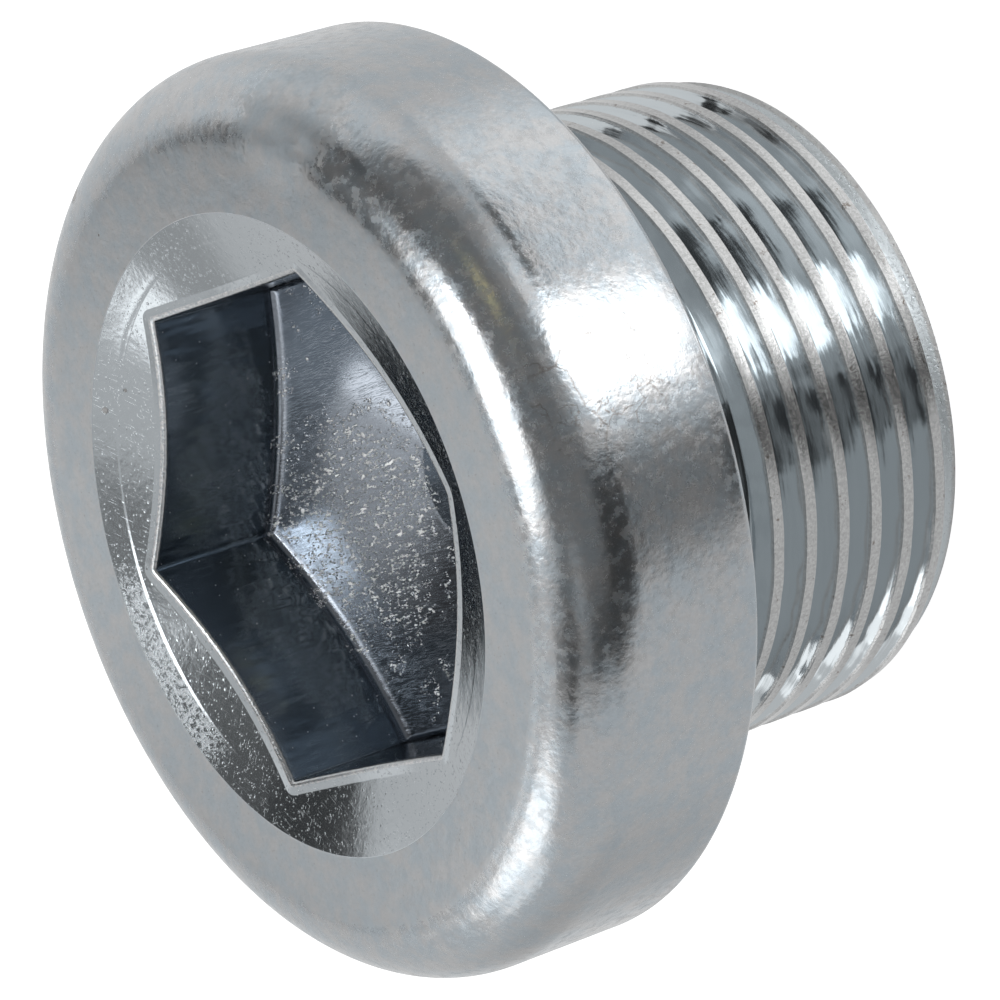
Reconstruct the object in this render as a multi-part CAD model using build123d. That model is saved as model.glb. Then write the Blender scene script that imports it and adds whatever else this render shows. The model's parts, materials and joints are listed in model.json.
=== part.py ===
import os
from math import isclose, radians, sqrt, tan

from build123d import *

os.makedirs("parts", exist_ok=True)

# Hex socket plug, M24 x 1.5, cold-forged in one piece. Z is its axis, and the
# origin is the centre of the thread's end face, on which the plug stands.
# Heights are worked out from the seat, the flat under the head, and the
# finished plug is then lifted onto its end face.

# ---- driving dimensions, millimetres and degrees ----
head_dia = 33.5            # round head
head_height = 7.65         # seat to front face
head_edge_radius = 2.8     # large rounding round the front face
head_rim_bevel = 0.3       # broken edge behind the head, at 45 degrees
hex_af = 17.1              # socket for a 17 mm key, across flats
hex_depth = 5.85           # front face to the corners of the floor
floor_slope = 16.6         # conical floor, from the seat's plane
nose_dia = 4.8             # flat spot left by the tip of the punch
floor_rounding = 0.4       # where the six walls meet the floor
entry_dia = 23.2           # shallow cone that leads the key in, across its rim
entry_slope = 21.4
thread_dia = 23.75         # over the thread's crests
shank_length = 13.6        # seat to end face
end_taper_length = 1.1     # the shank narrows just before its end face
end_taper_drop = 0.45      # radius lost over that length
neck_length = 3.5          # plain neck under the head, before the crests begin
neck_step = 0.43           # the neck's radius is this much less than the thread's
neck_bevel = 0.4           # fills the corner between neck and seat, at 45 degrees
punch_overrun = 1.0        # how far the punch reaches past what it cuts

# ---- derived sizes ----
head_r = head_dia / 2
thread_r = thread_dia / 2
neck_r = thread_r - neck_step
hex_corner_r = hex_af / sqrt(3)
nose_r = nose_dia / 2
nose_rise = tan(radians(floor_slope))
floor_z = head_height - hex_depth
nose_z = floor_z - (hex_corner_r - nose_r) * nose_rise
entry_r = entry_dia / 2


def on_axis_plane(*edges):
    """A closed outline in (radius, height), as a face that holds the plug's axis."""
    return Plane.XZ * make_face(Wire(edges))


# ---- the blank: head, neck and shank in one revolved outline ----
entry_tip = (0, head_height - entry_r * tan(radians(entry_slope)))
entry_rim = (entry_r, head_height)
edge_inner = (head_r - head_edge_radius, head_height)
edge_outer = (head_r, head_height - head_edge_radius)
rim_outer = (head_r, head_rim_bevel)
rim_inner = (head_r - head_rim_bevel, 0)
neck_root = (neck_r + neck_bevel, 0)
neck_top = (neck_r, -neck_bevel)
neck_foot = (neck_r, -neck_length)
crest_top = (thread_r, -neck_length - neck_step)
crest_foot = (thread_r, end_taper_length - shank_length)
end_edge = (thread_r - end_taper_drop, -shank_length)
end_centre = (0, -shank_length)

blank = revolve(
    on_axis_plane(
        Line(end_centre, entry_tip),
        Line(entry_tip, entry_rim),
        Line(entry_rim, edge_inner),
        TangentArc(edge_inner, edge_outer, tangent=(1, 0)),
        Line(edge_outer, rim_outer),
        Line(rim_outer, rim_inner),
        Line(rim_inner, neck_root),
        Line(neck_root, neck_top),
        Line(neck_top, neck_foot),
        Line(neck_foot, crest_top),
        Line(crest_top, crest_foot),
        Line(crest_foot, end_edge),
        Line(end_edge, end_centre),
    ),
    axis=Axis.Z,
)

# ---- the punch: a hexagonal bar with a conical nose and a small flat tip ----
punch_top = head_height + punch_overrun
nose_reach = hex_corner_r + punch_overrun
bar = extrude(
    Plane.XY.offset(nose_z) * RegularPolygon(hex_corner_r, 6), punch_top - nose_z
)
nose_tip = (0, nose_z)
nose_edge = (nose_r, nose_z)
nose_rim = (nose_reach, nose_z + (nose_reach - nose_r) * nose_rise)
nose = revolve(
    on_axis_plane(
        Line(nose_tip, nose_edge),
        Line(nose_edge, nose_rim),
        Line(nose_rim, (nose_reach, punch_top)),
        Line((nose_reach, punch_top), (0, punch_top)),
        Line((0, punch_top), nose_tip),
    ),
    axis=Axis.Z,
)
punch = bar & nose


def on_floor_edge(edge):
    """True for the six edges that join two corners of the socket's floor."""
    ends = [edge @ 0, edge @ 1]
    return all(isclose(end.Z, floor_z, abs_tol=1e-6) for end in ends)


punch = fillet(punch.edges().filter_by(on_floor_edge), floor_rounding)

# ---- the socket struck into the blank, and the plug lifted onto its end ----
plug_body = Pos(0, 0, shank_length) * (blank - punch)
plug_body.label = "plug_body"
export_step(plug_body, "parts/plug_body.step")
print("plug_body:", len(plug_body.solids()), "solid,", round(plug_body.volume), "mm3")
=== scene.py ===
# %% [markdown]
# # Hex socket plug
# A plug is one piece of steel. A round head is pressed onto a short shank, a punch drives a
# hexagonal socket into the head, and flat dies roll a fine thread onto the shank. Then it is
# plated with zinc, which is what the eye sees: a grey, hard, slightly cloudy mirror.
# This lesson builds its skin as one closed mesh and gives each region the finish that its tool
# left behind. Then it lights the plug as a studio lights shiny metal, inside a small tent.
# The sizes come from the packed solid model, which stays hidden under the skin.

# %% Load the frame
import json
import math

import bmesh
import bpy
from mathutils import Matrix, Vector, noise


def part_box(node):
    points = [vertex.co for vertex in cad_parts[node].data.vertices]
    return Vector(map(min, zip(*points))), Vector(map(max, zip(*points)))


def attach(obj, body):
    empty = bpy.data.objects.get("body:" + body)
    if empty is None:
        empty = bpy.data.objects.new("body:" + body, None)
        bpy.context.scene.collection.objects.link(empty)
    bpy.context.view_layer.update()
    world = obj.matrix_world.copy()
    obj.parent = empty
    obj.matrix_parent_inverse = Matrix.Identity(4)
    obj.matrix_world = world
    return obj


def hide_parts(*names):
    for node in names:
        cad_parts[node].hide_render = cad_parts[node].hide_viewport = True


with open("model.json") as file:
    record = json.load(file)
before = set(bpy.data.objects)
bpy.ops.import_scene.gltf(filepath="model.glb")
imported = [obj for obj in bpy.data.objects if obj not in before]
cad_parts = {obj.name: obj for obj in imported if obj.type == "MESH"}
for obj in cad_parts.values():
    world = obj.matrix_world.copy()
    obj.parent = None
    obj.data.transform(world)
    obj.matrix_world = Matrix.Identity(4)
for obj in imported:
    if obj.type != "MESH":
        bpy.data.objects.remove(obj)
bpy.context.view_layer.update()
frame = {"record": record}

# %% [markdown]
# ## Sizes
# The outside sizes are read from the solid model and its record, so the skin can't drift away
# from it. What the record doesn't hold is written here once, in millimetres.
# All heights are above the thread's end face, on which the plug stands.

# %% Sizes
MM = 0.001
low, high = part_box("plug_body")
mounts = {mount["name"]: mount for mount in frame["record"]["mounts"]}

head_r = (high.x - low.x) / 2 / MM
top_z = high.z / MM
seat_z = mounts["seat"]["pos_m"][2] / MM
thread_r = mounts["thread"]["dims"]["r_mm"]

EDGE_RADIUS = 2.8          # large rounding round the front face
RIM_RADIUS = 0.3           # small rounding behind the head
HEX_APOTHEM = 17.1 / 2
SOCKET_DEPTH = 5.85        # front face to the corners of the floor
FLOOR_RISE = math.tan(math.radians(16.6))
NOSE_R = 2.4               # flat spot in the middle of the floor
ENTRY_R = 11.6             # rim of the shallow cone that leads the key in
ENTRY_RISE = math.tan(math.radians(21.4))
NECK_STEP = 0.43           # the neck is this much smaller than the thread
neck_r = thread_r - NECK_STEP
NECK_FILLET = 0.4
TAPER_LENGTH = 1.1         # the thread gets shallow towards the end face
TAPER_DROP = 0.35

floor_corner_r = HEX_APOTHEM / math.cos(math.radians(30))
nose_z = top_z - SOCKET_DEPTH - (floor_corner_r - NOSE_R) * FLOOR_RISE
print("head radius", round(head_r, 3), "seat at", seat_z, "front face at", round(top_z, 3))

# %% [markdown]
# ## Columns
# Every ring of the skin has the same columns, so that rings join up without seams. A plain
# circle needs no more than even steps, but the socket has six corners, and those need short
# steps to look rounded instead of chipped. The columns are pulled towards the six corners by
# adding a small sine wave to even steps. Two helpers turn an outline into rings: one follows a
# round stretch of it and one a straight stretch.

# %% Columns
COLUMNS = 480
CORNER_PULL = 0.55
even = [2 * math.pi * i / COLUMNS for i in range(COLUMNS)]
azimuth = [a - CORNER_PULL * math.sin(6 * a) / 6 for a in even]


def ring(radius, height):
    """One ring of points. Radius and height are each a number, or a list with one a column."""
    radii = radius if isinstance(radius, list) else [radius] * COLUMNS
    heights = height if isinstance(height, list) else [height] * COLUMNS
    return [(r * math.cos(a), r * math.sin(a), z) for r, a, z in zip(radii, azimuth, heights)]


def arc(centre_r, centre_z, radius, start_deg, stop_deg, steps):
    """Rings along a round stretch of the outline, both ends included."""
    turns = [math.radians(start_deg + (stop_deg - start_deg) * k / steps) for k in range(steps + 1)]
    return [ring(centre_r + radius * math.cos(t), centre_z + radius * math.sin(t)) for t in turns]


def straight(start, stop, steps):
    """Rings along a straight stretch of the outline, without its two ends."""
    shares = [k / steps for k in range(1, steps)]
    return [
        ring(start[0] + (stop[0] - start[0]) * s, start[1] + (stop[1] - start[1]) * s)
        for s in shares
    ]


print("columns:", COLUMNS, "of them", COLUMNS // 6, "for each corner of the socket")

# %% [markdown]
# ## The head
# From the neck outwards: the flat seat, the small rim, the side, the large front rounding and
# the flat face. Then comes the shallow cone that leads a key in. The tool that pressed it was
# stepped, so part of the way down the cone steepens and breaks back in a fine crease. The tool
# was worn as well: the crease is clear in two stretches and faint elsewhere, and a glint runs
# along the clear ones. All this could be one spin of a curve, but rings made by a formula keep
# the columns that the socket needs, and let the crease change on its way round.

# %% Head rings
CREASE_R = 10.52
LIP_R = 11.2               # one more ring between the rim of the cone and the crease
EDGE_HOLD = 0.03           # rings this close to an edge keep its shading crisp


def swell(centre_deg, half_deg):
    """For each column, 1 at an azimuth and falling smoothly to 0 on both sides of it."""
    shares = []
    for a in azimuth:
        away = abs((math.degrees(a) - centre_deg + 180) % 360 - 180)
        shares.append(0.5 + 0.5 * math.cos(math.pi * min(away / half_deg, 1)))
    return shares


broad = swell(122, 26)     # the two stretches in which the crease is clear
narrow = swell(190, 36)
crease_width = [0.1 + 0.22 * b for b in broad]
crease_lift = [0.003 + 0.026 * b + 0.022 * n for b, n in zip(broad, narrow)]


def cone_z(r):
    """Height of the plain entry cone."""
    return top_z - (ENTRY_R - r) * ENTRY_RISE


def cone_height(radii):
    """Height of the entry cone in each column, with the crease pressed into it."""
    heights = []
    for r, width, lift in zip(radii, crease_width, crease_lift):
        outside = min(max((r - CREASE_R) / width, 0), 1)
        fade = min(max((ENTRY_R - r) / (ENTRY_R - CREASE_R - width), 0), 1)
        step = lift * (1 - (1 - outside) ** 2) * fade
        heights.append(cone_z(r) + step)
    return heights


seat = straight((neck_r + NECK_FILLET, seat_z), (head_r - RIM_RADIUS, seat_z), 5)
rim = arc(head_r - RIM_RADIUS, seat_z + RIM_RADIUS, RIM_RADIUS, -90, 0, 6)
side = straight((head_r, seat_z + RIM_RADIUS), (head_r, top_z - EDGE_RADIUS), 6)
front_edge = arc(head_r - EDGE_RADIUS, top_z - EDGE_RADIUS, EDGE_RADIUS, 0, 90, 24)
face = straight((head_r - EDGE_RADIUS, top_z), (ENTRY_R, top_z), 5)
face += [ring(ENTRY_R + EDGE_HOLD, top_z), ring(ENTRY_R, top_z)]
lip = [ring(r, cone_height([r] * COLUMNS)) for r in (ENTRY_R - EDGE_HOLD, LIP_R)]
for share in (1.3, 1, 0.85, 0.7, 0.55, 0.4, 0.25, 0.12, 0):
    radii = [CREASE_R + width * share for width in crease_width]
    lip.append(ring(radii, cone_height(radii)))
print("rings on the head:", len(seat + rim + side + front_edge + face + lip))

# %% [markdown]
# ## The socket
# Its wall is a hexagon with slightly rounded corners. In each column the distance from the axis
# to the wall is worked out, and everything round the mouth or at the foot is a distance from
# that wall. The punch pushed some steel ahead of it, so the cone flattens in a band round the
# mouth before it turns over the edge. The turns at mouth and foot are quadratic curves: start on
# one face, aim at the sharp corner, end on the other face.

# %% Socket rings
CORNER_ROUND = 0.12        # radius of the wall's six corners
MOUTH_REACH = 0.18         # the mouth turns over the edge from here
MOUTH_DROP = 0.16          # to here, down the wall
BAND_WIDTH = 0.48          # the flatter band round the mouth
BAND_LIFT = 0.1
FOOT_ROUND = 0.32          # where the walls meet the floor


def hexagon(offset):
    """Distance from the axis to the socket's wall in each column, moved out by offset."""
    apothem = HEX_APOTHEM + offset
    rounding = CORNER_ROUND + max(offset, 0)
    half = math.radians(30)
    centre = (apothem - rounding) / math.cos(half)
    reach = half - math.atan((apothem - rounding) * math.tan(half) / apothem)
    distances = []
    for a in azimuth:
        from_corner = abs((a + half) % (2 * half) - half)
        if from_corner < reach:
            chord = rounding**2 - (centre * math.sin(from_corner)) ** 2
            distances.append(centre * math.cos(from_corner) + math.sqrt(chord))
        else:
            distances.append(apothem / math.cos(half - from_corner))
    return distances


def mix(first, second, share):
    """Two lists blended column by column."""
    return [f + (s - f) * share for f, s in zip(first, second)]


def band_height(offset):
    """Height of the cone at an offset from the socket's wall, raised where it flattens."""
    raised = max(1 - offset / BAND_WIDTH, 0)
    return [z + BAND_LIFT * raised for z in cone_height(hexagon(offset))]


def floor_z(r):
    """Height of the conical floor, with its flat spot in the middle."""
    return nose_z + max(r - NOSE_R, 0) * FLOOR_RISE


def floor_height(radii):
    """Height of the floor in each column."""
    return [floor_z(r) for r in radii]


def rounded(start_r, start_z, corner_z, wall_r, stop_z, steps):
    """Rings of a rounding that starts at start and ends on the wall, aiming at the corner."""
    rings = []
    for k in range(steps + 1):
        t = k / steps
        radii = mix(wall_r, start_r, (1 - t) ** 2)
        heights = [
            (1 - t) ** 2 * a + 2 * t * (1 - t) * b + t**2 * c
            for a, b, c in zip(start_z, corner_z, stop_z)
        ]
        rings.append(ring(radii, heights))
    return rings


wall = hexagon(0)
band_edge = [min(r, CREASE_R - EDGE_HOLD) for r in hexagon(BAND_WIDTH)]
cone = []
for share in (0.03, 0.5, 0.96, 1):
    radii = mix([CREASE_R] * COLUMNS, band_edge, share)
    cone.append(ring(radii, cone_height(radii)))
for offset in (BAND_WIDTH - EDGE_HOLD, 0.36, 0.28, MOUTH_REACH + EDGE_HOLD):
    cone.append(ring(hexagon(offset), band_height(offset)))
mouth_stop = [z - MOUTH_DROP for z in band_height(0)]
mouth = rounded(hexagon(MOUTH_REACH), band_height(MOUTH_REACH), band_height(0), wall, mouth_stop, 7)
foot_r = hexagon(-FOOT_ROUND)
foot_start = [z + FOOT_ROUND for z in floor_height(wall)]
foot = rounded(foot_r, floor_height(foot_r), floor_height(wall), wall, foot_start, 5)[::-1]
walls = [ring(wall, mix(mouth_stop, foot_start, share)) for share in (0.02, 0.25, 0.5, 0.75, 0.98)]
floor = []
for share in (0.04, 0.1, 0.25, 0.42, 0.6, 0.78, 0.9, 0.97):
    radii = mix(foot_r, [NOSE_R] * COLUMNS, share)
    floor.append(ring(radii, floor_height(radii)))
nose = [ring(NOSE_R * share, nose_z) for share in (1, 0.96, 0.6, 0.25)]
print("corner of the wall at", round(max(wall), 2), "mm, floor centre at", round(nose_z, 2), "mm")

# %% [markdown]
# ## The thread
# A rolled thread is a helix, so a stack of level rings can't follow it: its sharp crests would
# turn into stairs. Here each row of points climbs along the helix instead, one pitch in one
# turn, and a row that has climbed out of the thread is held at the level ring that ends it. After
# a full turn, row j meets row j + ROWS of the first column, and the skin closes.
# The dies press the root in and the crest out of a blank of neck size. Near the head both fade
# out, the root over a longer stretch than the crest, and at the end face the whole thread gets
# shallow. The edges of the crests waver a little, because the steel there was squeezed up and
# not cut.

# %% Thread rows
PITCH = 1.5
CREST_LOW = 8.44           # lower edge of one crest, above the end face, in the first column
ROOT_DEPTH = 0.8
END_FADE = 1.2             # below this height the thread gets shallow
END_LOSS = 0.8             # the share of its depth that is gone at the end face
thread_top = seat_z - 1.5                    # in the plain neck
groove_fade = (seat_z - 4.9, seat_z - 3.4)   # the grooves run out between these heights
crest_fade = (seat_z - 4.3, seat_z - 3.6)    # and the crests between these
# height above the crest's lower edge, depth below the crest, and how much the edge wavers
thread_outline = [
    (0.00, 0.07, 1), (0.03, 0.0, 1), (0.255, 0.012, 0), (0.48, 0.0, 1), (0.51, 0.07, 1),
    (0.915, 0.76, 0), (1.005, ROOT_DEPTH, 0), (1.095, 0.76, 0),
]
ROWS = len(thread_outline)


def fading(height, full_below, gone_above):
    """1 below the first height, 0 above the second, and a smooth slope between them."""
    share = min(max((gone_above - height) / (gone_above - full_below), 0), 1)
    return share * share * (3 - 2 * share)


def depth_at(height, angle):
    """Depth of the full thread at any height, read off the outline."""
    place = (height - CREST_LOW - PITCH * angle / (2 * math.pi)) % PITCH
    outline = thread_outline + [(PITCH, *thread_outline[0][1:])]
    for (h0, d0, _), (h1, d1, _) in zip(outline, outline[1:]):
        if h0 <= place <= h1:
            return d0 + (d1 - d0) * (place - h0) / (h1 - h0)


def shank_radius(height, depth):
    """Radius of the rolled shank, where the full thread would be depth below its crest."""
    raised = max(NECK_STEP - depth, 0) * fading(height, *crest_fade)
    pressed = max(depth - NECK_STEP, 0) * fading(height, *groove_fade)
    drop = TAPER_DROP * max(1 - height / TAPER_LENGTH, 0) ** 1.5
    kept = 1 - END_LOSS * fading(height, 0, END_FADE)
    full_r = neck_r + raised - pressed
    return thread_r - drop - (thread_r - full_r) * kept


first_turn = -math.ceil(CREST_LOW / PITCH) - 2
last_turn = math.ceil((thread_top - CREST_LOW) / PITCH) + 1
rows = [
    (CREST_LOW + PITCH * turn + h, depth, wavers)
    for turn in range(first_turn, last_turn)
    for h, depth, wavers in thread_outline
]
print("thread rows:", len(rows))

# %% [markdown]
# ## Sewing rings together
# Blender could bridge loops of edges by itself, but it would have to guess which point meets
# which. The columns already say that, so points and faces are collected in plain lists and
# handed over in one go. Two rings are joined by quads, and a quad that has lost a side becomes a
# triangle. Each face notes its region, because each region was left by another tool and gets
# its own finish.

# %% Sewing helpers
REGIONS = ["thread", "end", "neck", "side", "face", "entry", "mouth", "wall", "floor"]
points = []
faces = []
face_regions = []


def add_ring(coordinates):
    """Keep the points of a ring, and return their numbers."""
    start = len(points)
    points.extend(coordinates)
    return list(range(start, start + COLUMNS))


def add_face(corners, region):
    """Keep a face, unless so many of its corners are one point that no face is left."""
    kept = [c for k, c in enumerate(corners) if c != corners[k - 1]]
    if len(set(kept)) > 2:
        faces.append(kept)
        face_regions.append(REGIONS.index(region))


def sew(below, above, region):
    """Join two rings."""
    for i in range(COLUMNS):
        j = (i + 1) % COLUMNS
        add_face([below[i], below[j], above[j], above[i]], region)


def cap(centre, edge, region, facing_up):
    """Close a ring with a fan round one point."""
    points.append(centre)
    tip = len(points) - 1
    for i in range(COLUMNS):
        j = (i + 1) % COLUMNS
        add_face([edge[i], edge[j], tip] if facing_up else [edge[j], edge[i], tip], region)


print("regions:", ", ".join(REGIONS))

# %% [markdown]
# ## The skin of the shank
# The end face is a stack of flat rings round its middle. Above it the rows of the thread are
# laid in a grid. A point that has climbed above the thread, or hasn't yet reached it, is the
# point of the level ring there. The last column is sewn to the first one, a full turn on.

# %% Shank skin
CLOSE = 0.02               # a row this near to the end of the thread is held there
RAGGED = 0.03              # how far the edges of the crests waver
RAGGED_RATE = 9            # how much faster they waver from crest to crest than along one

end_ring = add_ring(ring([shank_radius(0, depth_at(0, a)) for a in azimuth], 0))
top_ring = add_ring(ring(neck_r, thread_top))
end_rings = [add_ring(ring(share * neck_r, 0)) for share in (0.25, 0.55, 0.8, 0.9)]
cap((0, 0, 0), end_rings[0], "end", facing_up=False)
for inner_ring, outer_ring in zip(end_rings, end_rings[1:] + [end_ring]):
    sew(inner_ring, outer_ring, "end")

grid = []
for row_height, depth, wavers in rows:
    line = []
    for i, a in enumerate(azimuth):
        z = row_height + PITCH * a / (2 * math.pi)
        place = Vector((thread_r * math.cos(a), thread_r * math.sin(a), RAGGED_RATE * z))
        z += wavers * RAGGED * noise.noise(place)
        if z < CLOSE:
            line.append(end_ring[i])
        elif z > thread_top - CLOSE:
            line.append(top_ring[i])
        else:
            r = shank_radius(z, depth)
            points.append((r * math.cos(a), r * math.sin(a), z))
            line.append(len(points) - 1)
    grid.append(line)
for j in range(len(grid) - 1):
    for i in range(COLUMNS - 1):
        add_face([grid[j][i], grid[j][i + 1], grid[j + 1][i + 1], grid[j + 1][i]], "thread")
    after = grid[j + ROWS][0] if j + ROWS < len(grid) else top_ring[0]
    after_up = grid[j + ROWS + 1][0] if j + ROWS + 1 < len(grid) else top_ring[0]
    add_face([grid[j][-1], after, after_up, grid[j + 1][-1]], "thread")
print("shank:", len(points), "points")

# %% [markdown]
# ## The skin of the neck, the head and the socket
# From the top of the thread the rings made above are sewn on one after the other: up the neck,
# out along the seat, round the head, and down into the socket to the middle of its floor. One
# loop does it, so there is no place where a part could be left unjoined.

# %% Head skin
neck = [ring(neck_r, seat_z - 1.0)]
neck += arc(neck_r + NECK_FILLET, seat_z - NECK_FILLET, NECK_FILLET, 180, 90, 6)
last_ring = top_ring
for rings, region in (
    (neck + seat, "neck"), (rim + side + front_edge, "side"), (face, "face"),
    (lip + cone, "entry"), (mouth, "mouth"), (walls, "wall"), (foot + floor + nose, "floor"),
):
    for coordinates in rings:
        next_ring = add_ring(coordinates)
        sew(last_ring, next_ring, region)
        last_ring = next_ring
cap((0, 0, nose_z), last_ring, "floor", facing_up=True)
print("whole plug:", len(points), "points")

# %% [markdown]
# ## The mesh
# The lists become one mesh, in metres. Shading is smooth except along edges that turn sharply,
# so the crests of the thread stay crisp. Splitting the mesh at those edges would look the same,
# but the skin would no longer be closed.

# %% Mesh
SHARP_FROM = math.radians(32)

mesh = bpy.data.meshes.new("plug_skin")
mesh.from_pydata([(x * MM, y * MM, z * MM) for x, y, z in points], [], faces)
mesh.polygons.foreach_set("material_index", face_regions)
mesh.polygons.foreach_set("use_smooth", [True] * len(faces))
mesh.set_sharp_from_angle(angle=SHARP_FROM)
mesh.update()
skin = bpy.data.objects.new("plug_skin", mesh)
bpy.context.scene.collection.objects.link(skin)
triangles = sum(len(corners) - 2 for corners in faces)
print("skin:", len(mesh.vertices), "points,", triangles, "triangles")

# %% [markdown]
# ## A wire
# Materials are small programs of nodes. Adding and linking every node by name would bury the
# idea in plumbing, so Wire wraps an output and lets sums be written as Python expressions. Each
# operator adds one Math node, and the reflected ones let a plain number stand first.

# %% Wire


class Wire:
    """An output of a node tree that works in sums like a number."""

    def __init__(self, tree, socket):
        self.tree = tree
        self.socket = socket

    def __add__(self, other):
        return self.tree.math("ADD", self, other)

    def __radd__(self, other):
        return self.tree.math("ADD", other, self)

    def __sub__(self, other):
        return self.tree.math("SUBTRACT", self, other)

    def __rsub__(self, other):
        return self.tree.math("SUBTRACT", other, self)

    def __mul__(self, other):
        return self.tree.math("MULTIPLY", self, other)

    def __rmul__(self, other):
        return self.tree.math("MULTIPLY", other, self)

    def __abs__(self):
        return self.tree.math("ABSOLUTE", self)


print("a wire knows +, -, * and abs")

# %% [markdown]
# ## A tree
# Every other node comes from one call that takes its type, its settings and what goes into its
# sockets. The rest are short names for what the finishes below use often: a smooth step, a mix
# of two colours, soft noise, and small spots scattered on a loose grid.

# %% Tree


class Tree:
    """A node tree that adds one node for each call."""

    def __init__(self, owner):
        owner.use_nodes = True
        self.nodes = owner.node_tree.nodes
        self.links = owner.node_tree.links
        self.nodes.clear()

    def node(self, kind, settings=(), sockets=(), output=0):
        """Add a node, set it up, feed its sockets with values or wires, and return an output."""
        made = self.nodes.new(kind)
        for name, value in dict(settings).items():
            setattr(made, name, value)
        for name, value in dict(sockets).items():
            if isinstance(value, Wire):
                self.links.new(value.socket, made.inputs[name])
            else:
                made.inputs[name].default_value = value
        return Wire(self, made.outputs[output]) if len(made.outputs) else None

    def math(self, operation, *values):
        """A sum on numbers."""
        return self.node("ShaderNodeMath", {"operation": operation}, dict(enumerate(values)))

    def vector(self, operation, *values, output=0):
        """A sum on places, directions or colours."""
        settings = {"operation": operation}
        return self.node("ShaderNodeVectorMath", settings, dict(enumerate(values)), output)

    def scaled(self, vector, scale):
        """A vector or a colour times a number."""
        settings = {"operation": "SCALE"}
        return self.node("ShaderNodeVectorMath", settings, {0: vector, "Scale": scale})

    def split(self, vector):
        """The three parts of a vector."""
        self.node("ShaderNodeSeparateXYZ", sockets={0: vector})
        return [Wire(self, part) for part in self.nodes[-1].outputs]

    def joined(self, x, y, z):
        """A vector from its three parts."""
        return self.node("ShaderNodeCombineXYZ", sockets={0: x, 1: y, 2: z})

    def smooth(self, value, start, stop):
        """0 before start, 1 after stop, and a smooth slope between them."""
        return self.node(
            "ShaderNodeMapRange",
            {"interpolation_type": "SMOOTHSTEP"},
            {"Value": value, "From Min": start, "From Max": stop},
        )

    def blend(self, share, first, second):
        """A colour between two colours."""
        sockets = {0: share, 6: first, 7: second}
        return self.node("ShaderNodeMix", {"data_type": "RGBA"}, sockets, output=2)

    def cloud(self, place, per_mm, detail=3.0, roughness=0.6):
        """Soft noise around 0.5, with so many blots to the millimetre."""
        sockets = {"Vector": place, "Scale": per_mm, "Detail": detail, "Roughness": roughness}
        return self.node("ShaderNodeTexNoise", sockets=sockets)

    def flecks(self, place, per_mm, share, size):
        """Round spots in a share of the cells of a loose grid; size 1 fills a cell."""
        sockets = {"Vector": place, "Scale": per_mm}
        distance = self.node("ShaderNodeTexVoronoi", sockets=sockets)
        chance, _, _ = self.split(Wire(self, self.nodes[-1].outputs["Color"]))
        return self.smooth(distance, size, size * 0.3) * self.smooth(chance, share + 0.01, share)


print("a tree knows", ", ".join(name for name in vars(Tree) if not name.startswith("_")))

# %% [markdown]
# ## Places on the plug
# A texture needs a place for each point of the surface. Plain object coordinates do for dirt and
# dents. Marks that run round the plug, such as the drag of a tool, need a place that changes
# slowly round the axis and fast across it. Angles would do that, but they have a seam where the
# turn closes, so the direction from the axis is used instead, which has none. Lengths inside
# the materials are millimetres.

# %% Places
HEIGHT_SHARE = 0.7         # a step in height counts as this much of a step in radius


def place_of(tree):
    """Where a point is, in millimetres."""
    return tree.scaled(tree.node("ShaderNodeTexCoord", output="Object"), 1 / MM)


def from_axis(tree, place):
    """Distance from the axis, and the direction from it."""
    x, y, _ = tree.split(place)
    flat = tree.joined(x, y, 0.0)
    return tree.vector("LENGTH", flat, output="Value"), tree.vector("NORMALIZE", flat)


def around(tree, place, along, across):
    """A place that moves slowly round the plug and fast in radius and height."""
    radius, direction = from_axis(tree, place)
    x, y, _ = tree.split(direction)
    _, _, z = tree.split(place)
    return tree.joined(x * along, y * along, (radius + HEIGHT_SHARE * z) * across)


def strokes(tree, place, turn_deg, length, width, amount):
    """Straight scratches of about one length and width, turned about the axis of the plug."""
    settings = {"rotation_type": "Z_AXIS"}
    turned = tree.node(
        "ShaderNodeVectorRotate", settings, {"Vector": place, "Angle": math.radians(turn_deg)}
    )
    stretched = tree.vector("MULTIPLY", turned, (1 / length, 1 / width, 1 / length))
    return tree.smooth(tree.cloud(stretched, 1.0, 1.0), 1 - amount, 1.06 - amount)


def spot(tree, place, azimuth_deg, radius, height, size):
    """One mark with a ragged edge: 1 in its middle, 0 outside it."""
    a = math.radians(azimuth_deg)
    centre = (radius * math.cos(a), radius * math.sin(a), height)
    away = tree.vector("DISTANCE", place, centre, output="Value")
    ragged = away + (tree.cloud(place, 6.0) - 0.5) * size
    return tree.smooth(ragged, size, size * 0.5)


print("places, strokes and spots are in units of", MM, "m")

# %% [markdown]
# ## Zinc
# Every region is the same metal, so one function makes the shader and only asks each finish for
# a colour, a roughness and a height in millimetres. The height becomes a bump at its true scale.
# Zinc under a clear passivation is a dark, slightly blue mirror: it sends back a bit more than
# two fifths of the light. Where it lies rough it looks warmer and lighter, because dust and
# soft brown stains hold on there.

# %% Zinc
ZINC = (0.4, 0.43, 0.45, 1)
ZINC_WARM = (0.42, 0.425, 0.43, 1)
ZINC_COLD = (0.365, 0.405, 0.435, 1)
STAIN = (0.22, 0.2, 0.185, 1)
metals = {}


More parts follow.
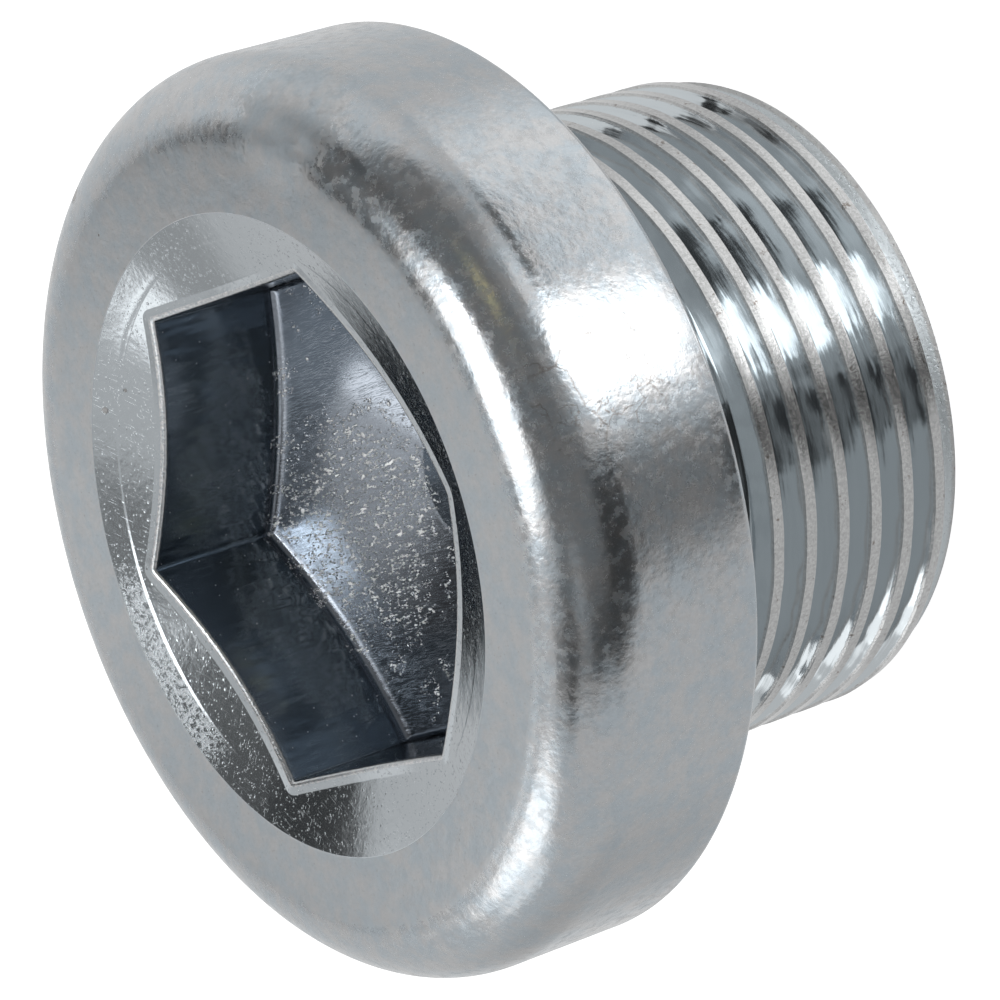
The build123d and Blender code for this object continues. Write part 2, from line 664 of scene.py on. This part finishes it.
def plate(region, finish):
    """A region's metal, from a finish that returns colour, roughness and height for a place.

    A finish may add a direction of its own for the surface, on which the height then rides.
    """
    material = bpy.data.materials.new("zinc_" + region)
    tree = Tree(material)
    colour, roughness, height, *facing = finish(tree, place_of(tree))
    relief = {"Height": height, "Distance": MM}
    if facing:
        relief["Normal"] = facing[0]
    bump = tree.node("ShaderNodeBump", sockets=relief)
    surface = {"Base Color": colour, "Metallic": 1.0, "Roughness": roughness, "Normal": bump}
    metal = tree.node("ShaderNodeBsdfPrincipled", sockets=surface)
    tree.node("ShaderNodeOutputMaterial", sockets={"Surface": metal})
    metals[region] = material
    print(material.name, "has", len(tree.nodes), "nodes")


print("plain zinc sends back", ZINC[:3], "of the light")

# %% [markdown]
# ## The outside of the head
# The forging tool left the flat face matt, with a fine grain, pale clouds and short scratches.
# The side and the large rounding were tumbled against other plugs, so they are smoother, with
# shallow dents in which light pools, frosted patches and, on one side, a web of hairlines. There
# is no line between the two: the matt grain fades out over the rounding. Two materials would
# need that line, so this is one finish, mixed by the distance from the axis. A few marks have a
# place of their own: a large frosted patch and two pits.

# %% Head finish
# degrees round the axis, distance from it, height and size
FROST_PATCH = (62, 15.5, 20.7, 3.2)
HAIRLINES = (9, head_r, 18.0, 3.5)
FACE_PIT = (115.3, 13.37, top_z, 0.06)
EDGE_PIT = (118.6, 15.68, 20.65, 0.35)


def head_finish(tree, place):
    radius, _ = from_axis(tree, place)
    _, _, z = tree.split(place)
    matt = tree.smooth(radius + 0.8 * tree.cloud(place, 0.8), 15.2, 13.9) * tree.smooth(z, 15, 18)
    clouds = tree.smooth(tree.cloud(place, 0.9, 5.0, 0.7), 0.36, 0.64)
    grain = tree.cloud(place, 7.0, 3.0, 0.7)
    pearls = tree.cloud(place, 3.6, 2.0)
    dented = tree.cloud(place, 1.3, 2.0)
    frosted = (1 - matt) * tree.smooth(tree.cloud(place, 2.4, 3.0, 0.65), 0.44, 0.66)
    frosted = frosted + 1.6 * spot(tree, place, *FROST_PATCH)
    scratched = (
        strokes(tree, place, 20, 0.9, 0.05, 0.32)
        + strokes(tree, place, 75, 0.7, 0.05, 0.32)
        + strokes(tree, place, 140, 0.8, 0.05, 0.32)
    )
    bent = tree.vector("ADD", place, tree.scaled(tree.cloud(place, 0.7, 4.0), 3.0))
    settings = {"feature": "DISTANCE_TO_EDGE"}
    web = tree.node("ShaderNodeTexVoronoi", settings, {"Vector": bent, "Scale": 0.4})
    hairline = tree.smooth(web, 0.03, 0.0) * spot(tree, place, *HAIRLINES)
    pit = spot(tree, place, *FACE_PIT) + spot(tree, place, *EDGE_PIT)
    tint = tree.blend(clouds, ZINC_COLD, ZINC_WARM)
    tint = tree.scaled(tint, 0.85 + 0.3 * tree.cloud(place, 6.0, 4.0, 0.75))
    dirt = pit + matt * 0.5 * tree.smooth(grain, 0.6, 0.75) + 0.7 * hairline
    colour = tree.blend(dirt, tint, STAIN)
    roughness = 0.19 + 0.1 * (dented - 0.5) + 0.12 * frosted + matt * (0.16 + 0.2 * (grain - 0.5))
    height = 0.014 * dented + 0.007 * pearls + 0.003 * grain
    height = height - 0.0012 * matt * scratched - 0.05 * pit
    return colour, roughness, height


plate("side", head_finish)
plate("face", head_finish)

# %% [markdown]
# ## The entry cone
# The cone was coined against a polished tool and shines, but keys slip over it, so it is full of
# pinpoint dents. Against a dark surrounding each dent catches a lamp and sparkles. Outside the
# crease the keys have also rubbed one side matt, and left a gouge and a nick not far from there.
# Dents this small would need millions of faces, so they are spots in the bump, scattered over
# the cells of a fine grid and of a coarser one.

# %% Entry finish
RUBBED_SIDE = (200, 11.1, cone_z(11.1), 4.6)
GOUGE = (146.6, 11.05, cone_z(11.05), 0.17)
NICK = (140.6, 10.3, cone_z(10.3), 0.1)


def entry_finish(tree, place):
    dents = tree.flecks(place, 9.0, 0.25, 0.35) + tree.flecks(place, 4.0, 0.25, 0.3)
    ripple = tree.cloud(place, 1.2, 3.0)
    grit = tree.cloud(place, 9.0, 3.0, 0.7)
    scratched = strokes(tree, place, 40, 0.8, 0.03, 0.3) + strokes(tree, place, 110, 0.5, 0.03, 0.3)
    radius, _ = from_axis(tree, place)
    rubbed = tree.smooth(radius, 10.5, 10.7) * spot(tree, place, *RUBBED_SIDE)
    rubbed = rubbed * tree.smooth(tree.cloud(place, 5.0, 5.0, 0.8), 0.46, 0.6)
    gouge = spot(tree, place, *GOUGE) + spot(tree, place, *NICK)
    colour = tree.blend(0.6 * gouge, ZINC, STAIN)
    roughness = 0.13 + 0.08 * (grit - 0.5) + 0.3 * gouge + 0.16 * rubbed
    height = 0.012 * ripple + (0.001 + 0.006 * rubbed) * grit
    height = height - 0.006 * dents - 0.002 * scratched - 0.04 * gouge
    return colour, roughness, height


plate("entry", entry_finish)

# %% [markdown]
# ## The mouth of the socket
# The mouth is a burr that was pressed flat again, so it is paler and rougher than the cone. One
# patchy noise drives its colour, roughness and height together, because where such metal is
# raised it is also the palest and the roughest.

# %% Mouth finish
MOUTH_PALE = (0.55, 0.55, 0.55, 1)


def mouth_finish(tree, place):
    grit = tree.cloud(place, 8.0, 4.0, 0.7)
    colour = tree.blend(tree.smooth(grit, 0.35, 0.65), ZINC, MOUTH_PALE)
    return colour, 0.17 + 0.16 * (grit - 0.5), 0.014 * grit


plate("mouth", mouth_finish)

# %% [markdown]
# ## The walls of the socket
# The walls slid along the punch, so they are the smoothest part of the plug, with faint streaks
# along the stroke and a shallow wave. They look nearly black only because they see the dark
# floor and each other. Noise that is stretched along the axis gives both, and a few specks of
# dust cling on.

# %% Wall finish
WALL_ZINC = (0.34, 0.39, 0.435, 1)
DUST = (0.65, 0.65, 0.65, 1)


def wall_finish(tree, place):
    streak = tree.cloud(tree.vector("MULTIPLY", place, (6.0, 6.0, 0.4)), 1.0, 3.0)
    wave = tree.cloud(tree.vector("MULTIPLY", place, (0.9, 0.9, 0.25)), 1.0, 2.0)
    dust = tree.flecks(place, 5.0, 0.12, 0.2)
    colour = tree.blend(dust, WALL_ZINC, DUST)
    roughness = 0.07 + 0.08 * streak + 0.3 * dust
    return colour, roughness, 0.0015 * streak + 0.05 * wave + 0.002 * dust


plate("wall", wall_finish)

# %% [markdown]
# ## The floor of the socket
# The floor was hit by the nose of the punch. Scale and grit were caught in between and left
# small ragged marks, which crowd together on the side where the punch struck hardest. Between
# the marks the floor is coloured darker than the outside, and darkest in the six corners, as
# painted shade at the bottom of the socket. The marks are coloured pure white: they are real
# marks, and their white is a painted highlight that makes them glint. A picture of such marks
# could be laid on, but it would repeat or blur, so they are made from noise. A coarse one says
# where the floor is worn, and in there the marks are specks and the tops of a fine one, cut off
# sharply. Both are drawn out in one direction, the way the punch slipped.

# %% Floor finish
STRUCK_CENTRE = (-5.6, -0.6, floor_z(5.6))
# painted shade: the floor is coloured darker than the outside, darkest towards the six corners
FLOOR_SHADED_ZINC = (0.3, 0.33, 0.37, 1)
FLOOR_CORNER_SHADE = (0.2, 0.22, 0.25, 1)
# real torn marks, coloured pure white as a painted highlight so that they glint
TORN_STEEL_AND_GLINT = (1.0, 1.0, 1.0, 1)


def floor_finish(tree, place):
    away = tree.vector("DISTANCE", place, STRUCK_CENTRE, output="Value")
    struck = tree.smooth(away, 5.2, 1.5)
    worn = tree.smooth(tree.cloud(place, 0.8, 4.0, 0.7) + 0.26 * struck, 0.56, 0.62)
    stretched = tree.vector("MULTIPLY", place, (0.45, 1.0, 1.0))
    specks = tree.flecks(stretched, 12.0, 0.4, 0.45) + tree.flecks(stretched, 6.0, 0.15, 0.35)
    torn = tree.smooth(tree.cloud(stretched, 6.0, 5.0, 0.8), 0.55, 0.58)
    marks = tree.math("MINIMUM", worn * (specks + torn), 1.0)
    brushed = strokes(tree, place, 4, 0.9, 0.035, 0.42) + strokes(tree, place, -7, 0.6, 0.03, 0.4)
    grit = tree.cloud(place, 10.0, 3.0, 0.7)
    radius, _ = from_axis(tree, place)
    # painted shade: the floor between the marks is darker than the outside, darkest towards the
    # corners
    floor_with_painted_shade = tree.blend(tree.smooth(radius, 8.2, 9.2), FLOOR_SHADED_ZINC, FLOOR_CORNER_SHADE)
    # the marks are real, and their pure white is a painted highlight that makes them glint
    colour = tree.blend(marks, floor_with_painted_shade, TORN_STEEL_AND_GLINT)
    height = 0.025 * marks + 0.0015 * grit - 0.0012 * brushed
    return colour, 0.11 + 0.09 * struck + 0.08 * (grit - 0.5) + 0.4 * marks, height


plate("floor", floor_finish)

# %% [markdown]
# ## The thread
# The dies polished the flanks of the thread and dragged fine lines along them. The crests were
# never touched by the dies: they are what the steel of the blank was squeezed up to, rough and
# dull, with a brown stain here and there. The distance from the axis tells the two apart. Just
# above the end face the taper is scuffed rough.
# Each drag line ends a highlight a little earlier or later than the next one, like the teeth of
# a comb. Bump can tip the surface only across the lines, so here the surface is also tipped
# along them, by a noise that changes from line to line.

# %% Thread finish
FLANK = (0.49, 0.525, 0.545, 1)
FLANK_DARK = (0.445, 0.48, 0.5, 1)
CREST_DULL = (0.36, 0.365, 0.365, 1)
CREST_PALE = (0.48, 0.485, 0.485, 1)


def combed(tree, place, lean):
    """The way the surface faces, tipped a little round the plug on every drag line."""
    tangent = tree.node("ShaderNodeTangent", {"direction_type": "RADIAL", "axis": "Z"})
    lines = tree.cloud(around(tree, place, 1.0, 7.0), 1.0, 3.0, 0.7)
    facing = tree.node("ShaderNodeNewGeometry", output="Normal")
    tipped = tree.vector("ADD", facing, tree.scaled(tangent, (lines - 0.5) * lean))
    return tree.vector("NORMALIZE", tipped)


def thread_finish(tree, place):
    radius, _ = from_axis(tree, place)
    grit = tree.cloud(place, 8.0, 4.0, 0.7)
    _, _, z = tree.split(place)
    taper = tree.smooth(z, TAPER_LENGTH, 0.0) * TAPER_DROP
    crest = tree.smooth(radius + taper + 0.12 * (grit - 0.5), thread_r - 0.13, thread_r - 0.07)
    lines = tree.cloud(around(tree, place, 3.0, 9.0), 1.0, 3.0, 0.6)
    rolled = tree.blend(lines, FLANK, FLANK_DARK)
    dull = tree.blend(tree.smooth(grit, 0.3, 0.7), CREST_DULL, CREST_PALE)
    dull = tree.blend(tree.smooth(tree.cloud(place, 2.5, 4.0, 0.7), 0.62, 0.7), dull, STAIN)
    colour = tree.blend(crest, rolled, dull)
    wave = tree.cloud(around(tree, place, 10.0, 1.5), 1.0, 2.0)
    worn = tree.smooth(z, 0.75, 0.55) * tree.smooth(grit, 0.3, 0.5)
    roughness = 0.07 + 0.06 * lines + crest * (0.12 + 0.2 * (grit - 0.5)) + 0.35 * worn
    height = 0.003 * lines + 0.008 * wave + (crest * 0.006 + worn * 0.015) * grit
    return colour, roughness, height, combed(tree, place, 0.22)


plate("thread", thread_finish)

# %% [markdown]
# ## The neck and the end face
# The neck and the seat were turned smooth, and keep only faint lines round the axis. The end
# face still shows the grain of the bar that it was cut from, so it is matt and uneven.
# With these two every region has its metal, and the skin gets them in the order in which its
# faces count the regions. The skin then takes the place of the solid plug.

# %% Neck and end finish


def neck_finish(tree, place):
    lines = tree.cloud(around(tree, place, 2.0, 6.0), 1.0, 3.0)
    shade = tree.smooth(tree.cloud(place, 0.8), 0.4, 0.6)
    tint = tree.blend(shade, FLANK, FLANK_DARK)
    return tint, 0.2 + 0.1 * (lines - 0.5), 0.003 * lines


def end_finish(tree, place):
    grain = tree.cloud(place, 3.0, 5.0, 0.7)
    tint = tree.blend(tree.smooth(grain, 0.35, 0.65), ZINC_COLD, ZINC_WARM)
    return tint, 0.32 + 0.2 * (grain - 0.5), 0.015 * grain


plate("neck", neck_finish)
plate("end", end_finish)
for region in REGIONS:
    mesh.materials.append(metals[region])
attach(skin, "root")
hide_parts("plug_body")

# %% [markdown]
# ## The tent
# Shiny metal has no look of its own: it shows the room. A studio puts such a part in a small
# white tent with lamps behind the cloth, and leaves dark gaps so that its edges stay readable.
# A world with a picture on it would do that for a part in a large room, but a tent this small is
# as near as the part is deep, and a cone and a rounding see different places in it. So the tent
# is a real ball round the plug. It is made visible to mirror rays only, so that it doesn't hide
# the plug from the camera or cut off the plain light that falls on the floor.

# %% Tent
TENT_RADIUS = 90.0
TENT_HEIGHT = seat_z + 2
SIGHT_AZIMUTH = math.radians(1.56)     # round the axis, where the camera stands

ball = bmesh.new()
bmesh.ops.create_icosphere(ball, subdivisions=4, radius=TENT_RADIUS * MM)
tent_mesh = bpy.data.meshes.new("tent")
ball.to_mesh(tent_mesh)
ball.free()
tent = bpy.data.objects.new("tent", tent_mesh)
tent.location = (0, 0, TENT_HEIGHT * MM)
tent.rotation_euler = (0, 0, SIGHT_AZIMUTH)
bpy.context.scene.collection.objects.link(tent)
for kind in ("camera", "diffuse", "transmission", "volume_scatter", "shadow"):
    setattr(tent, "visible_" + kind, False)
print("tent of", TENT_RADIUS, "mm round a plug of", round(head_r, 2), "mm")

# %% [markdown]
# ## Places on the tent
# The cloth is painted with light by a formula. A place on it is given by two angles: how far it
# is turned round the plug's axis from the camera, and how far it is down from the top. Masks
# with soft edges, such as cards and ovals, say what is covered there. An image could hold the
# same light, but this way each card stays a line of numbers that can be changed.

# %% Cloth places
cloth = bpy.data.materials.new("tent_cloth")
tree = Tree(cloth)
toward = tree.vector("NORMALIZE", tree.node("ShaderNodeTexCoord", output="Object"))
east, north, up = tree.split(toward)
down = tree.math("DEGREES", tree.math("ARCCOSINE", up))
turn = tree.math("DEGREES", tree.math("ARCTAN2", north, east))


def turned(centre):
    """Degrees round the tent from a centre, between -180 and 180."""
    return tree.math("WRAP", turn - centre, 180.0, -180.0)


def band(value, start, stop, soft):
    """1 between two values, with soft edges."""
    rising = tree.smooth(value, start - soft / 2, start + soft / 2)
    return rising * tree.smooth(value, stop + soft / 2, stop - soft / 2)


def card(left, right, top, bottom, soft=6):
    """A soft-edged rectangle of cloth between two turns and two angles down."""
    middle = (left + right) / 2
    half = (right - left) / 2
    return band(turned(middle), -half, half, soft) * band(down, top, bottom, soft)


def disc(across, along, soft=0.3):
    """A soft-edged disc, from two places that are 0 in its middle and 1 at its edge."""
    distance = tree.math("SQRT", across * across + along * along)
    return tree.smooth(distance, 1 + soft / 2, 1 - soft / 2)


def oval(turn_at, down_at, half_wide, half_high, soft=0.3):
    """A soft-edged oval of cloth, from its middle and its half sizes in degrees."""
    return disc(turned(turn_at) * (1 / half_wide), (down - down_at) * (1 / half_high), soft)


print("cloth is measured in degrees turned and degrees down")

# %% [markdown]
# ## The opening and the tall lamp
# The opening for the camera leans, as the camera does, and the room behind it is dark. Below it
# stands the tall lamp that the thread mirrors, a strip that gets narrower and weaker towards its
# foot. These can't be plain cards, because their sides move with the height, so each side is a
# sum of its own. The cloth itself has a level near 1, and is brighter where the window lights it.

# %% Opening and lamp
LAMP_AT = 18.0             # degrees from the camera
WINDOW_AT = 105.0
left_side = 0.5 * down - 84
right_side = 134 - 0.8 * down
lower = tree.smooth(down, 113, 119)
opening = (
    tree.smooth(turn, left_side - 4, left_side + 4) * tree.smooth(turn, right_side + 4, right_side - 4)
)
lobe = tree.smooth(turn, left_side - 9, left_side - 1) * tree.smooth(turn, 0, -6)
strip = tree.smooth(turn, left_side - 2, left_side + 4)
strip = strip * tree.smooth(turn, left_side + 26, left_side + 8)
foot_of_lamp = tree.smooth(down, 121, 125)
lamp_half = tree.math("MINIMUM", 0.46 * down - 37.5, 12.0) - 1.5 * lower - 6 * foot_of_lamp
lamp = tree.smooth(abs(turned(LAMP_AT) - foot_of_lamp) - lamp_half, 1.5, -1.5)
lamp = lamp * band(down, 86, 140, 4)
above = tree.smooth(up, 0, 0.1)
window = tree.smooth(abs(turned(WINDOW_AT)), 55, 25)
plain_cloth = 0.85 + 0.2 * window * tree.smooth(down, 115, 85)
print("lamp and opening take", len(tree.nodes), "nodes")

# %% [markdown]
# ## Cards on the tent
# The cards are laid over the cloth one after the other, and each one covers what is under it,
# so a small card on a large one makes a detail of it. The lamps are a few times brighter than
# the cloth. The dark cards matter as much, because on metal it is the dark beside a bright patch
# that shows an edge. Lamps and boards of their own would do the same, but each would need a
# place and a size in the room, where a card needs only the direction that the plug sees it in.

# %% Cards
WARM = (0.95, 0.85, 0.5, 1)
level = plain_cloth
for mask, brightness in (
    # soft patches of the cloth, darker and lighter
    (oval(-165, 56, 12, 8, 0.9), 0.58),
    (oval(176, 58, 8, 7, 0.9), 1.15),
    (oval(-114, 108, 24, 22, 1.0), 0.68),
    (oval(57, 124, 27, 12, 0.9), 1.5),
    # the room through the opening, darkest low down and along its left side
    (opening * band(down, 22, 84, 6), 0.27),
    (card(4, 44, 70, 87, 8), 0.45),
    (lobe * band(down, 78, 142, 8), 0.07 + 0.4 * lower * tree.smooth(down, 123, 121)),
    (strip * band(down, 56, 95, 10), 0.07),
    # dark gaps behind the plug and on its right, and a small glint
    (card(75, 166, 29, 49, 8), 0.18),
    (card(94, 104, 45, 56, 4), 0.06),
    (oval(110, 56, 8, 6), 0.03),
    (card(137, 151, 45, 56, 6), 0.18),
    (card(151, 167, 38, 57, 5), 0.07),
    (card(153, 169, 22, 40, 5), 0.17),
    (card(172, 198, 14, 28, 7), 0.28),
    (oval(-158, 45, 6, 5), 2.2),
    # dark gaps on the left
    (card(-100, -60, 18, 32), 0.3),
    (card(-80, -52, 28, 42, 6), 0.08),
    (card(-48, -24, 38, 50, 8), 0.5),
    # cards beside the tall lamp, the lamp, and its light on the table
    (card(42, 62, 74, 94), 0.45),
    (oval(22, 44, 4, 4), 0.5),
    (card(30, 44, 86, 102), 1.4),
    (card(33, 58, 104, 116, 4), 0.1),
    (lamp, 5.0 - 2.7 * tree.smooth(down, 118, 125)),
    (oval(23, 150, 10, 8), 3.5),
    # the round lamp behind on the left
    (oval(-123, 45, 21, 12), 2.7),
    (card(-123, -104, 51, 67, 3), 1.7),
    # the soft lamp overhead, a card at its side and a thin bright tube
    (disc((east + 0.02) * (1 / 0.32), (north - 0.125) * (1 / 0.24)) * above, 4.0),
    (card(90, 112, 19, 30, 5), 0.9),
    (oval(70, 21, 20, 2.2), 12.0),
):
    level = level + mask * (brightness - level)
light = tree.blend(oval(40, 54, 6, 5), level, WARM)
glow = tree.node("ShaderNodeEmission", sockets={"Color": light})
tree.node("ShaderNodeOutputMaterial", sockets={"Surface": glow})
cloth.cycles.emission_sampling = "NONE"
tent_mesh.materials.append(cloth)
print("cloth has", len(tree.nodes), "nodes")

# %% [markdown]
# ## Plain light
# Everything that isn't a mirror is lit evenly from all around by the world, at a level at which
# a colour looks as it is written. The camera, mirrors and glass see a white backdrop instead.
# Large lamps could light the paper as well, but the metal would mirror them through the tent.

# %% World
PLAIN_LEVEL = 0.6
WHITE = (1, 1, 1, 1)


def seen_by(tree, *kinds):
    """1 for rays of the named kinds, 0 for others."""
    tree.node("ShaderNodeLightPath")
    outputs = tree.nodes[-1].outputs
    rays = [Wire(tree, outputs["Is " + kind + " Ray"]) for kind in kinds]
    return sum(rays[1:], rays[0])


world = bpy.data.worlds.new("backdrop")
bpy.context.scene.world = world
tree = Tree(world)
plain = tree.node("ShaderNodeBackground", sockets={"Color": WHITE, "Strength": PLAIN_LEVEL})
white = tree.node("ShaderNodeBackground", sockets={"Color": WHITE, "Strength": 1.0})
direct = tree.math("MINIMUM", seen_by(tree, "Camera", "Glossy", "Transmission"), 1.0)
shown = tree.node("ShaderNodeMixShader", sockets={0: direct, 1: plain, 2: white})
tree.node("ShaderNodeOutputWorld", sockets={"Surface": shown})
world.cycles.sampling_method = "NONE"
print("plain light at", PLAIN_LEVEL, "in front of white")

# %% [markdown]
# ## White ground
# The ground is pale paper. It glows a little for the camera, so that open ground is white on
# the picture, and only the shadow where the plug stands on it is left. The metal doesn't see
# it: the lower half of the tent is what it mirrors.

# %% Ground
PAPER = 0.85
PAPER_GLOW = 0.75
GROUND_HALF = 3.0          # metres
GROUND_GAP = 0.01 * MM     # keeps the paper from touching the end face

sides = [(-1, -1), (1, -1), (1, 1), (-1, 1)]
paper_corners = [(GROUND_HALF * x, GROUND_HALF * y, -GROUND_GAP) for x, y in sides]
floor_mesh = bpy.data.meshes.new("ground")
floor_mesh.from_pydata(paper_corners, [], [(0, 1, 2, 3)])
ground = bpy.data.objects.new("ground", floor_mesh)
bpy.context.scene.collection.objects.link(ground)
paper = bpy.data.materials.new("ground_paper")
tree = Tree(paper)
matt = tree.node("ShaderNodeBsdfDiffuse", sockets={"Color": (PAPER, PAPER, PAPER, 1)})
glow = tree.node("ShaderNodeEmission", sockets={"Color": PAPER_GLOW * seen_by(tree, "Camera")})
both = tree.node("ShaderNodeAddShader", sockets={0: matt, 1: glow})
tree.node("ShaderNodeOutputMaterial", sockets={"Surface": both})
floor_mesh.materials.append(paper)
ground.visible_glossy = False
print("ground shows at", round(PAPER * PLAIN_LEVEL + PAPER_GLOW, 2), "in the open")

# %% [markdown]
# ## Camera
# The plug is looked at from in front and above, near enough that its far side looks smaller.
# A camera can be placed by hand, but here it is worked out from where it stands, what it aims at
# and how far it is rolled, because those can be read and changed one at a time.

# %% Camera
SIGHT_FROM_AXIS = 0.9802   # radians between the plug's axis and the line of sight
SIGHT_DISTANCE = 195.414   # millimetres to the middle of the seat
AIM_ACROSS = 1.3658        # the aim passes the middle of the seat by this much
AIM_DOWN = 1.0903
ROLL = -0.3095             # radians
LENS = 197.82              # millimetres, with a sensor this wide:
SENSOR = 36

outward = Vector((
    math.sin(SIGHT_FROM_AXIS) * math.cos(SIGHT_AZIMUTH),
    math.sin(SIGHT_FROM_AXIS) * math.sin(SIGHT_AZIMUTH),
    math.cos(SIGHT_FROM_AXIS),
))
sideways = Vector((-math.sin(SIGHT_AZIMUTH), math.cos(SIGHT_AZIMUTH), 0))
seat_centre = Vector((0, 0, seat_z))
eye = seat_centre + SIGHT_DISTANCE * outward
across = (-outward).cross(sideways).normalized()
aim = seat_centre + AIM_ACROSS * across + AIM_DOWN * across.cross(outward)
forward = (aim - eye).normalized()
right = forward.cross(sideways).normalized()
upward = right.cross(forward)
picture_right = math.cos(ROLL) * right + math.sin(ROLL) * upward
picture_up = math.cos(ROLL) * upward - math.sin(ROLL) * right

camera_data = bpy.data.cameras.new("camera")
camera_data.lens = LENS
camera_data.sensor_width = SENSOR
camera_data.clip_start = 0.01
camera = bpy.data.objects.new("camera", camera_data)
axes = Matrix((picture_right, picture_up, -forward)).transposed()
camera.matrix_world = Matrix.Translation(eye * MM) @ axes.to_4x4()
bpy.context.scene.collection.objects.link(camera)
bpy.context.scene.camera = camera
bpy.context.scene.view_settings.view_transform = "Standard"
print("camera at", [round(side) for side in eye], "mm")
